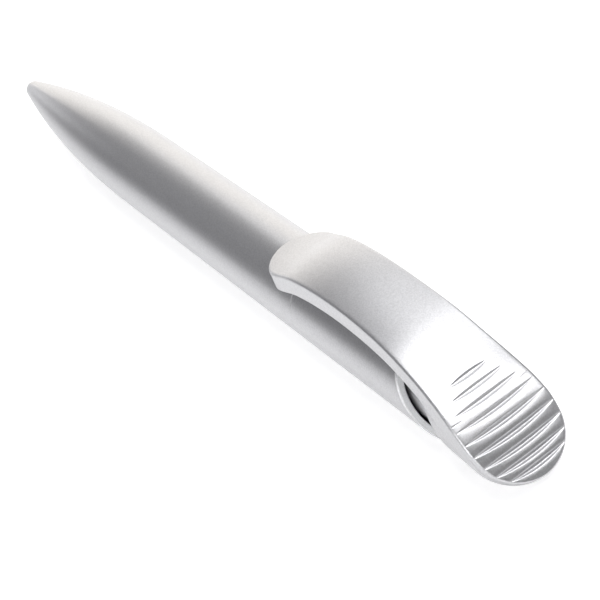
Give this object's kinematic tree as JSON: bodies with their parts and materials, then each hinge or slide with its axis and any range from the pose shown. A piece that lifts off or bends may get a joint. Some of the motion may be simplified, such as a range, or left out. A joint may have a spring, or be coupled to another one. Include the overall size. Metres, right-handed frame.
{
  "type": "push-button ballpoint pen",
  "caption": "Slim plastic ballpoint pen with a satin silver barrel; its wide arched clip and grooved thumb button are one moulding that slides to put the writing tip out",
  "frame": {"origin": "Middle of the bounding box on its underside, with the pen lying level and its clip on top", "axes": "+X runs along the pen from the writing end to the thumb button, +Z points to the clip, +Y completes a right-handed frame"},
  "size_m": [0.1414, 0.0116, 0.0161],
  "materials": {
    "silver_barrel": "satin silver metallic lacquer on moulded plastic",
    "silver_clip": "satin silver metallic lacquer on moulded plastic, finely sparkling",
    "inner_plastic": "plain light grey moulding",
    "cam_plastic": "natural white low-friction moulding",
    "spring_steel": "drawn spring wire",
    "ball_metal": "polished hard metal ball",
    "tip_metal": "turned nickel silver",
    "holder_plastic": "blue moulding",
    "tube_plastic": "drawn translucent tube",
    "ink": "thick blue ink paste"
  },
  "bodies": {
    "barrel": {"rear_barrel": "silver_barrel", "guide_sleeve": "inner_plastic"},
    "front": {"front_barrel": "silver_barrel", "return_spring": "spring_steel"},
    "button": {"clip_button": "silver_clip", "button_stem": "inner_plastic"},
    "cam": {"cam_sleeve": "cam_plastic"},
    "refill": {"refill_tube": "tube_plastic", "tip_holder": "holder_plastic", "writing_tip": "tip_metal", "ink_column": "ink"},
    "ball": {"writing_ball": "ball_metal"}
  },
  "joints": [
    {"name": "press", "type": "slide", "parent": "barrel", "child": "button", "axis": [-1, 0, 0], "range_m": [0, 0.0048], "stiffness_N_per_m": 450, "springref_m": -0.002, "deforming": ["return_spring"]},
    {"name": "cam_turn", "type": "hinge", "parent": "button", "child": "cam", "pos_m": [0.03698, 0, 0.0058], "axis": [-1, 0, 0], "range_deg": [0, 40.1]},
    {"name": "refill_feed", "type": "slide", "parent": "barrel", "child": "refill", "axis": [-1, 0, 0], "range_m": [0, 0.00481]},
    {"name": "ball_roll", "type": "hinge", "parent": "refill", "child": "ball", "pos_m": [-0.06902, 0, 0.0058], "axis": [0, 1, 0], "continuous": true},
    {"name": "front_unscrew", "type": "hinge", "parent": "barrel", "child": "front", "pos_m": [0.02638, 0, 0.0058], "axis": [1, 0, 0], "range_deg": [0, 1080]}
  ],
  "couplings": [
    {"joint": "cam_turn", "follows": "press", "rad_per_m": 145.44},
    {"joint": "refill_feed", "follows": "press", "ratio": 1}
  ]
}
